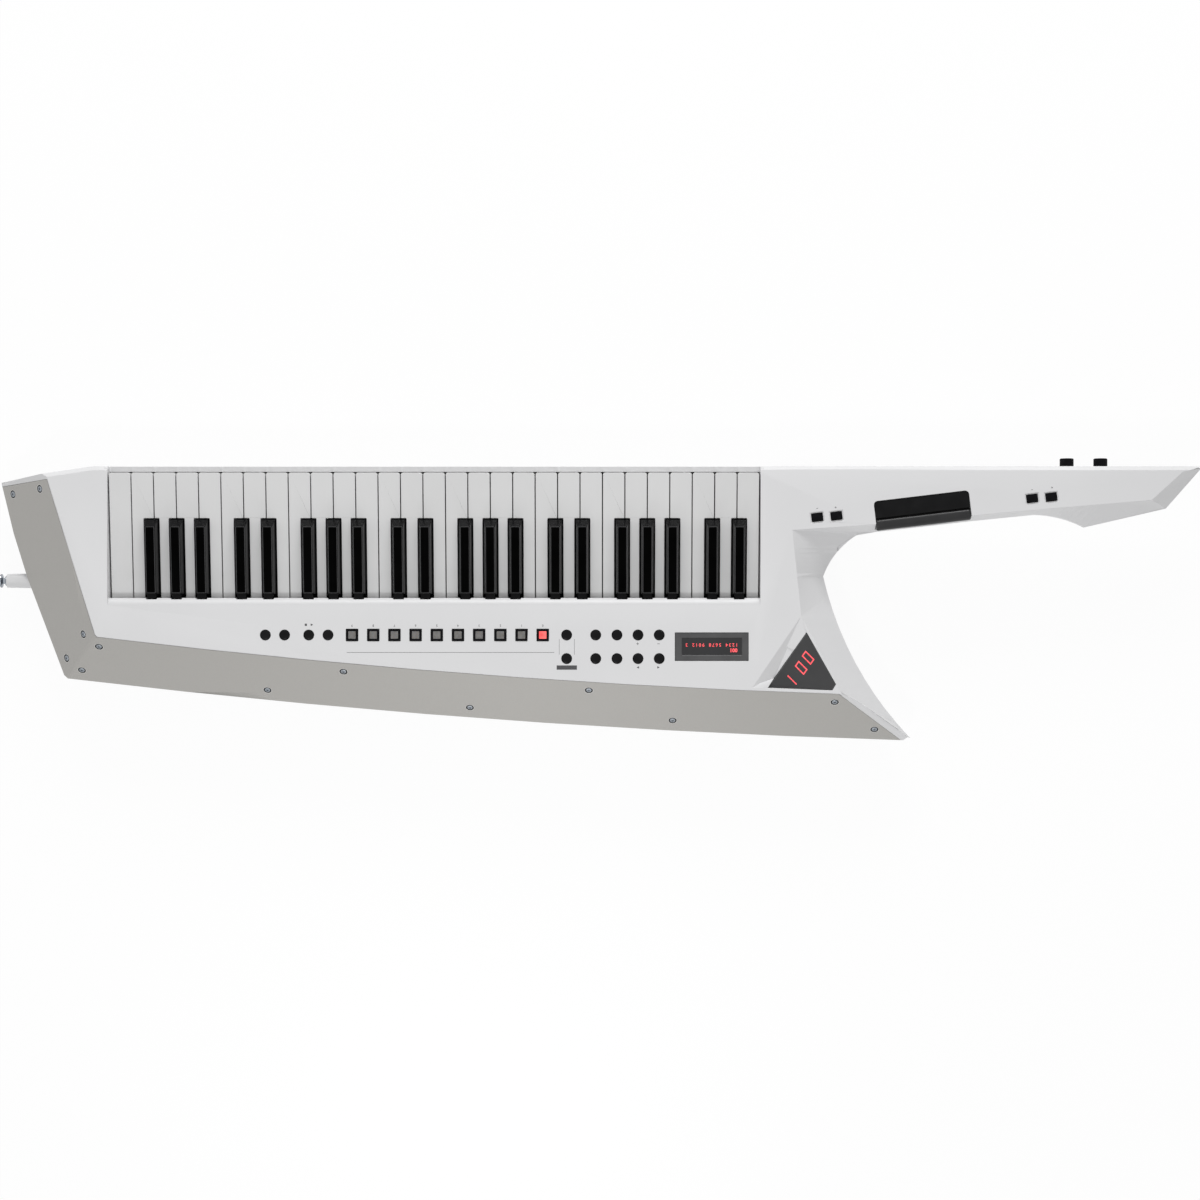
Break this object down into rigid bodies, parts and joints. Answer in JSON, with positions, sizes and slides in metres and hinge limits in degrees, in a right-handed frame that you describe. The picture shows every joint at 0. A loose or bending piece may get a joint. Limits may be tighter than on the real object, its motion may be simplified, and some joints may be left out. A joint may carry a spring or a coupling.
{
  "type": "keytar",
  "caption": "Shoulder-worn white keyboard with a hand neck, hinged sprung keys, press buttons, modulation bar, side knobs and a strap pin.",
  "frame": {"origin": "middle of the bounding box, on the surface that the flat back lies on", "axes": "+X along the keyboard to the neck's tip, +Y to the player's side, +Z out of the key face"},
  "size_m": [1.252, 0.2926, 0.0828],
  "materials": {
    "white_shell": "white moulded plastic, fine satin",
    "blade_grey": "satin silver-grey coated plastic",
    "white_key": "smooth white key plastic",
    "black_key": "gloss black key plastic",
    "gloss_black": "gloss black plastic",
    "black_plastic": "black moulded plastic",
    "chassis_plastic": "dark moulded plastic",
    "circuit_board": "green circuit board",
    "strap_chrome": "chrome plate",
    "screw_steel": "dark zinc-plated socket screws",
    "display_lens": "smoked display lens",
    "display_red": "lit red display segments",
    "print_grey": "thin grey screen print",
    "pad_cap": "translucent grey button centre"
  },
  "bodies": {
    "root": {"top_case": "white_shell", "bottom_case": "white_shell", "edge_blade": "blade_grey", "key_chassis": "chassis_plastic", "main_board": "circuit_board", "strap_pin": "strap_chrome"},
    "modulation_bar": {"modulation_bar": "gloss_black"},
    "control_knob": {"control_knob": "black_plastic"},
    "volume_knob": {"volume_knob": "black_plastic"},
    "panel_buttons": {"panel_buttons": "black_plastic"},
    "neck_buttons": {"neck_buttons": "black_plastic"},
    "white_key_01": {"white_key_01": "white_key"},
    "white_key_02": {"white_key_02": "white_key"},
    "white_key_03": {"white_key_03": "white_key"},
    "white_key_04": {"white_key_04": "white_key"},
    "white_key_05": {"white_key_05": "white_key"},
    "white_key_06": {"white_key_06": "white_key"},
    "white_key_07": {"white_key_07": "white_key"},
    "white_key_08": {"white_key_08": "white_key"},
    "white_key_09": {"white_key_09": "white_key"},
    "white_key_10": {"white_key_10": "white_key"},
    "white_key_11": {"white_key_11": "white_key"},
    "white_key_12": {"white_key_12": "white_key"},
    "white_key_13": {"white_key_13": "white_key"},
    "white_key_14": {"white_key_14": "white_key"},
    "white_key_15": {"white_key_15": "white_key"},
    "white_key_16": {"white_key_16": "white_key"},
    "white_key_17": {"white_key_17": "white_key"},
    "white_key_18": {"white_key_18": "white_key"},
    "white_key_19": {"white_key_19": "white_key"},
    "white_key_20": {"white_key_20": "white_key"},
    "white_key_21": {"white_key_21": "white_key"},
    "white_key_22": {"white_key_22": "white_key"},
    "white_key_23": {"white_key_23": "white_key"},
    "white_key_24": {"white_key_24": "white_key"},
    "white_key_25": {"white_key_25": "white_key"},
    "white_key_26": {"white_key_26": "white_key"},
    "white_key_27": {"white_key_27": "white_key"},
    "white_key_28": {"white_key_28": "white_key"},
    "white_key_29": {"white_key_29": "white_key"},
    "black_key_02": {"black_key_02": "black_key"},
    "black_key_03": {"black_key_03": "black_key"},
    "black_key_04": {"black_key_04": "black_key"},
    "black_key_06": {"black_key_06": "black_key"},
    "black_key_07": {"black_key_07": "black_key"},
    "black_key_09": {"black_key_09": "black_key"},
    "black_key_10": {"black_key_10": "black_key"},
    "black_key_11": {"black_key_11": "black_key"},
    "black_key_13": {"black_key_13": "black_key"},
    "black_key_14": {"black_key_14": "black_key"},
    "black_key_16": {"black_key_16": "black_key"},
    "black_key_17": {"black_key_17": "black_key"},
    "black_key_18": {"black_key_18": "black_key"},
    "black_key_20": {"black_key_20": "black_key"},
    "black_key_21": {"black_key_21": "black_key"},
    "black_key_23": {"black_key_23": "black_key"},
    "black_key_24": {"black_key_24": "black_key"},
    "black_key_25": {"black_key_25": "black_key"},
    "black_key_27": {"black_key_27": "black_key"},
    "black_key_28": {"black_key_28": "black_key"}
  },
  "joints": [
    {"name": "modulation_press", "type": "hinge", "parent": "root", "child": "modulation_bar", "pos_m": [0.33333, 0.10545, 0.0755], "axis": [0.993, 0.1184, 0], "range_deg": [0, 8], "stiffness_Nm_per_rad": 0.4, "springref_deg": -6.88},
    {"name": "control_turn", "type": "hinge", "parent": "root", "child": "control_knob", "pos_m": [0.48509, 0.1379, 0.064], "axis": [0, 1, 0], "range_deg": [-150, 150]},
    {"name": "volume_turn", "type": "hinge", "parent": "root", "child": "volume_knob", "pos_m": [0.51986, 0.1379, 0.064], "axis": [0, 1, 0], "range_deg": [-150, 150]},
    {"name": "panel_button_press", "type": "slide", "parent": "root", "child": "panel_buttons", "axis": [0, 0, -1], "range_m": [0, 0.0008], "stiffness_N_per_m": 3000, "springref_m": -0.001},
    {"name": "neck_button_press", "type": "slide", "parent": "root", "child": "neck_buttons", "axis": [0, 0, -1], "range_m": [0, 0.0008], "stiffness_N_per_m": 3000, "springref_m": -0.001},
    {"name": "white_key_01_press", "type": "hinge", "parent": "root", "child": "white_key_01", "pos_m": [-0.48935, -0.02303, 0.05353], "axis": [-1, 0, 0], "range_deg": [0, 3.3], "stiffness_Nm_per_rad": 0.25, "springref_deg": -17.19},
    {"name": "white_key_02_press", "type": "hinge", "parent": "root", "child": "white_key_02", "pos_m": [-0.4663, -0.02303, 0.05353], "axis": [-1, 0, 0], "range_deg": [0, 3.3], "stiffness_Nm_per_rad": 0.25, "springref_deg": -17.19},
    {"name": "white_key_03_press", "type": "hinge", "parent": "root", "child": "white_key_03", "pos_m": [-0.44325, -0.02303, 0.05353], "axis": [-1, 0, 0], "range_deg": [0, 3.3], "stiffness_Nm_per_rad": 0.25, "springref_deg": -17.19},
    {"name": "white_key_04_press", "type": "hinge", "parent": "root", "child": "white_key_04", "pos_m": [-0.4202, -0.02303, 0.05353], "axis": [-1, 0, 0], "range_deg": [0, 3.3], "stiffness_Nm_per_rad": 0.25, "springref_deg": -17.19},
    {"name": "white_key_05_press", "type": "hinge", "parent": "root", "child": "white_key_05", "pos_m": [-0.39715, -0.02303, 0.05353], "axis": [-1, 0, 0], "range_deg": [0, 3.3], "stiffness_Nm_per_rad": 0.25, "springref_deg": -17.19},
    {"name": "white_key_06_press", "type": "hinge", "parent": "root", "child": "white_key_06", "pos_m": [-0.3741, -0.02303, 0.05353], "axis": [-1, 0, 0], "range_deg": [0, 3.3], "stiffness_Nm_per_rad": 0.25, "springref_deg": -17.19},
    {"name": "white_key_07_press", "type": "hinge", "parent": "root", "child": "white_key_07", "pos_m": [-0.35105, -0.02303, 0.05353], "axis": [-1, 0, 0], "range_deg": [0, 3.3], "stiffness_Nm_per_rad": 0.25, "springref_deg": -17.19},
    {"name": "white_key_08_press", "type": "hinge", "parent": "root", "child": "white_key_08", "pos_m": [-0.328, -0.02303, 0.05353], "axis": [-1, 0, 0], "range_deg": [0, 3.3], "stiffness_Nm_per_rad": 0.25, "springref_deg": -17.19},
    {"name": "white_key_09_press", "type": "hinge", "parent": "root", "child": "white_key_09", "pos_m": [-0.30495, -0.02303, 0.05353], "axis": [-1, 0, 0], "range_deg": [0, 3.3], "stiffness_Nm_per_rad": 0.25, "springref_deg": -17.19},
    {"name": "white_key_10_press", "type": "hinge", "parent": "root", "child": "white_key_10", "pos_m": [-0.2819, -0.02303, 0.05353], "axis": [-1, 0, 0], "range_deg": [0, 3.3], "stiffness_Nm_per_rad": 0.25, "springref_deg": -17.19},
    {"name": "white_key_11_press", "type": "hinge", "parent": "root", "child": "white_key_11", "pos_m": [-0.25885, -0.02303, 0.05353], "axis": [-1, 0, 0], "range_deg": [0, 3.3], "stiffness_Nm_per_rad": 0.25, "springref_deg": -17.19},
    {"name": "white_key_12_press", "type": "hinge", "parent": "root", "child": "white_key_12", "pos_m": [-0.2358, -0.02303, 0.05353], "axis": [-1, 0, 0], "range_deg": [0, 3.3], "stiffness_Nm_per_rad": 0.25, "springref_deg": -17.19},
    {"name": "white_key_13_press", "type": "hinge", "parent": "root", "child": "white_key_13", "pos_m": [-0.21275, -0.02303, 0.05353], "axis": [-1, 0, 0], "range_deg": [0, 3.3], "stiffness_Nm_per_rad": 0.25, "springref_deg": -17.19},
    {"name": "white_key_14_press", "type": "hinge", "parent": "root", "child": "white_key_14", "pos_m": [-0.1897, -0.02303, 0.05353], "axis": [-1, 0, 0], "range_deg": [0, 3.3], "stiffness_Nm_per_rad": 0.25, "springref_deg": -17.19},
    {"name": "white_key_15_press", "type": "hinge", "parent": "root", "child": "white_key_15", "pos_m": [-0.16665, -0.02303, 0.05353], "axis": [-1, 0, 0], "range_deg": [0, 3.3], "stiffness_Nm_per_rad": 0.25, "springref_deg": -17.19},
    {"name": "white_key_16_press", "type": "hinge", "parent": "root", "child": "white_key_16", "pos_m": [-0.1436, -0.02303, 0.05353], "axis": [-1, 0, 0], "range_deg": [0, 3.3], "stiffness_Nm_per_rad": 0.25, "springref_deg": -17.19},
    {"name": "white_key_17_press", "type": "hinge", "parent": "root", "child": "white_key_17", "pos_m": [-0.12055, -0.02303, 0.05353], "axis": [-1, 0, 0], "range_deg": [0, 3.3], "stiffness_Nm_per_rad": 0.25, "springref_deg": -17.19},
    {"name": "white_key_18_press", "type": "hinge", "parent": "root", "child": "white_key_18", "pos_m": [-0.0975, -0.02303, 0.05353], "axis": [-1, 0, 0], "range_deg": [0, 3.3], "stiffness_Nm_per_rad": 0.25, "springref_deg": -17.19},
    {"name": "white_key_19_press", "type": "hinge", "parent": "root", "child": "white_key_19", "pos_m": [-0.07445, -0.02303, 0.05353], "axis": [-1, 0, 0], "range_deg": [0, 3.3], "stiffness_Nm_per_rad": 0.25, "springref_deg": -17.19},
    {"name": "white_key_20_press", "type": "hinge", "parent": "root", "child": "white_key_20", "pos_m": [-0.0514, -0.02303, 0.05353], "axis": [-1, 0, 0], "range_deg": [0, 3.3], "stiffness_Nm_per_rad": 0.25, "springref_deg": -17.19},
    {"name": "white_key_21_press", "type": "hinge", "parent": "root", "child": "white_key_21", "pos_m": [-0.02835, -0.02303, 0.05353], "axis": [-1, 0, 0], "range_deg": [0, 3.3], "stiffness_Nm_per_rad": 0.25, "springref_deg": -17.19},
    {"name": "white_key_22_press", "type": "hinge", "parent": "root", "child": "white_key_22", "pos_m": [-0.0053, -0.02303, 0.05353], "axis": [-1, 0, 0], "range_deg": [0, 3.3], "stiffness_Nm_per_rad": 0.25, "springref_deg": -17.19},
    {"name": "white_key_23_press", "type": "hinge", "parent": "root", "child": "white_key_23", "pos_m": [0.01775, -0.02303, 0.05353], "axis": [-1, 0, 0], "range_deg": [0, 3.3], "stiffness_Nm_per_rad": 0.25, "springref_deg": -17.19},
    {"name": "white_key_24_press", "type": "hinge", "parent": "root", "child": "white_key_24", "pos_m": [0.0408, -0.02303, 0.05353], "axis": [-1, 0, 0], "range_deg": [0, 3.3], "stiffness_Nm_per_rad": 0.25, "springref_deg": -17.19},
    {"name": "white_key_25_press", "type": "hinge", "parent": "root", "child": "white_key_25", "pos_m": [0.06385, -0.02303, 0.05353], "axis": [-1, 0, 0], "range_deg": [0, 3.3], "stiffness_Nm_per_rad": 0.25, "springref_deg": -17.19},
    {"name": "white_key_26_press", "type": "hinge", "parent": "root", "child": "white_key_26", "pos_m": [0.0869, -0.02303, 0.05353], "axis": [-1, 0, 0], "range_deg": [0, 3.3], "stiffness_Nm_per_rad": 0.25, "springref_deg": -17.19},
    {"name": "white_key_27_press", "type": "hinge", "parent": "root", "child": "white_key_27", "pos_m": [0.10995, -0.02303, 0.05353], "axis": [-1, 0, 0], "range_deg": [0, 3.3], "stiffness_Nm_per_rad": 0.25, "springref_deg": -17.19},
    {"name": "white_key_28_press", "type": "hinge", "parent": "root", "child": "white_key_28", "pos_m": [0.133, -0.02303, 0.05353], "axis": [-1, 0, 0], "range_deg": [0, 3.3], "stiffness_Nm_per_rad": 0.25, "springref_deg": -17.19},
    {"name": "white_key_29_press", "type": "hinge", "parent": "root", "child": "white_key_29", "pos_m": [0.15605, -0.02303, 0.05353], "axis": [-1, 0, 0], "range_deg": [0, 3.3], "stiffness_Nm_per_rad": 0.25, "springref_deg": -17.19},
    {"name": "black_key_02_press", "type": "hinge", "parent": "root", "child": "black_key_02", "pos_m": [-0.45754, -0.02303, 0.05353], "axis": [-1, 0, 0], "range_deg": [0, 3.3], "stiffness_Nm_per_rad": 0.25, "springref_deg": -17.19},
    {"name": "black_key_03_press", "type": "hinge", "parent": "root", "child": "black_key_03", "pos_m": [-0.43173, -0.02303, 0.05353], "axis": [-1, 0, 0], "range_deg": [0, 3.3], "stiffness_Nm_per_rad": 0.25, "springref_deg": -17.19},
    {"name": "black_key_04_press", "type": "hinge", "parent": "root", "child": "black_key_04", "pos_m": [-0.40591, -0.02303, 0.05353], "axis": [-1, 0, 0], "range_deg": [0, 3.3], "stiffness_Nm_per_rad": 0.25, "springref_deg": -17.19},
    {"name": "black_key_06_press", "type": "hinge", "parent": "root", "child": "black_key_06", "pos_m": [-0.36488, -0.02303, 0.05353], "axis": [-1, 0, 0], "range_deg": [0, 3.3], "stiffness_Nm_per_rad": 0.25, "springref_deg": -17.19},
    {"name": "black_key_07_press", "type": "hinge", "parent": "root", "child": "black_key_07", "pos_m": [-0.33722, -0.02303, 0.05353], "axis": [-1, 0, 0], "range_deg": [0, 3.3], "stiffness_Nm_per_rad": 0.25, "springref_deg": -17.19},
    {"name": "black_key_09_press", "type": "hinge", "parent": "root", "child": "black_key_09", "pos_m": [-0.29619, -0.02303, 0.05353], "axis": [-1, 0, 0], "range_deg": [0, 3.3], "stiffness_Nm_per_rad": 0.25, "springref_deg": -17.19},
    {"name": "black_key_10_press", "type": "hinge", "parent": "root", "child": "black_key_10", "pos_m": [-0.27037, -0.02303, 0.05353], "axis": [-1, 0, 0], "range_deg": [0, 3.3], "stiffness_Nm_per_rad": 0.25, "springref_deg": -17.19},
    {"name": "black_key_11_press", "type": "hinge", "parent": "root", "child": "black_key_11", "pos_m": [-0.24456, -0.02303, 0.05353], "axis": [-1, 0, 0], "range_deg": [0, 3.3], "stiffness_Nm_per_rad": 0.25, "springref_deg": -17.19},
    {"name": "black_key_13_press", "type": "hinge", "parent": "root", "child": "black_key_13", "pos_m": [-0.20353, -0.02303, 0.05353], "axis": [-1, 0, 0], "range_deg": [0, 3.3], "stiffness_Nm_per_rad": 0.25, "springref_deg": -17.19},
    {"name": "black_key_14_press", "type": "hinge", "parent": "root", "child": "black_key_14", "pos_m": [-0.17587, -0.02303, 0.05353], "axis": [-1, 0, 0], "range_deg": [0, 3.3], "stiffness_Nm_per_rad": 0.25, "springref_deg": -17.19},
    {"name": "black_key_16_press", "type": "hinge", "parent": "root", "child": "black_key_16", "pos_m": [-0.13484, -0.02303, 0.05353], "axis": [-1, 0, 0], "range_deg": [0, 3.3], "stiffness_Nm_per_rad": 0.25, "springref_deg": -17.19},
    {"name": "black_key_17_press", "type": "hinge", "parent": "root", "child": "black_key_17", "pos_m": [-0.10902, -0.02303, 0.05353], "axis": [-1, 0, 0], "range_deg": [0, 3.3], "stiffness_Nm_per_rad": 0.25, "springref_deg": -17.19},
    {"name": "black_key_18_press", "type": "hinge", "parent": "root", "child": "black_key_18", "pos_m": [-0.08321, -0.02303, 0.05353], "axis": [-1, 0, 0], "range_deg": [0, 3.3], "stiffness_Nm_per_rad": 0.25, "springref_deg": -17.19},
    {"name": "black_key_20_press", "type": "hinge", "parent": "root", "child": "black_key_20", "pos_m": [-0.04218, -0.02303, 0.05353], "axis": [-1, 0, 0], "range_deg": [0, 3.3], "stiffness_Nm_per_rad": 0.25, "springref_deg": -17.19},
    {"name": "black_key_21_press", "type": "hinge", "parent": "root", "child": "black_key_21", "pos_m": [-0.01452, -0.02303, 0.05353], "axis": [-1, 0, 0], "range_deg": [0, 3.3], "stiffness_Nm_per_rad": 0.25, "springref_deg": -17.19},
    {"name": "black_key_23_press", "type": "hinge", "parent": "root", "child": "black_key_23", "pos_m": [0.02651, -0.02303, 0.05353], "axis": [-1, 0, 0], "range_deg": [0, 3.3], "stiffness_Nm_per_rad": 0.25, "springref_deg": -17.19},
    {"name": "black_key_24_press", "type": "hinge", "parent": "root", "child": "black_key_24", "pos_m": [0.05233, -0.02303, 0.05353], "axis": [-1, 0, 0], "range_deg": [0, 3.3], "stiffness_Nm_per_rad": 0.25, "springref_deg": -17.19},
    {"name": "black_key_25_press", "type": "hinge", "parent": "root", "child": "black_key_25", "pos_m": [0.07814, -0.02303, 0.05353], "axis": [-1, 0, 0], "range_deg": [0, 3.3], "stiffness_Nm_per_rad": 0.25, "springref_deg": -17.19},
    {"name": "black_key_27_press", "type": "hinge", "parent": "root", "child": "black_key_27", "pos_m": [0.11917, -0.02303, 0.05353], "axis": [-1, 0, 0], "range_deg": [0, 3.3], "stiffness_Nm_per_rad": 0.25, "springref_deg": -17.19},
    {"name": "black_key_28_press", "type": "hinge", "parent": "root", "child": "black_key_28", "pos_m": [0.14683, -0.02303, 0.05353], "axis": [-1, 0, 0], "range_deg": [0, 3.3], "stiffness_Nm_per_rad": 0.25, "springref_deg": -17.19}
  ]
}
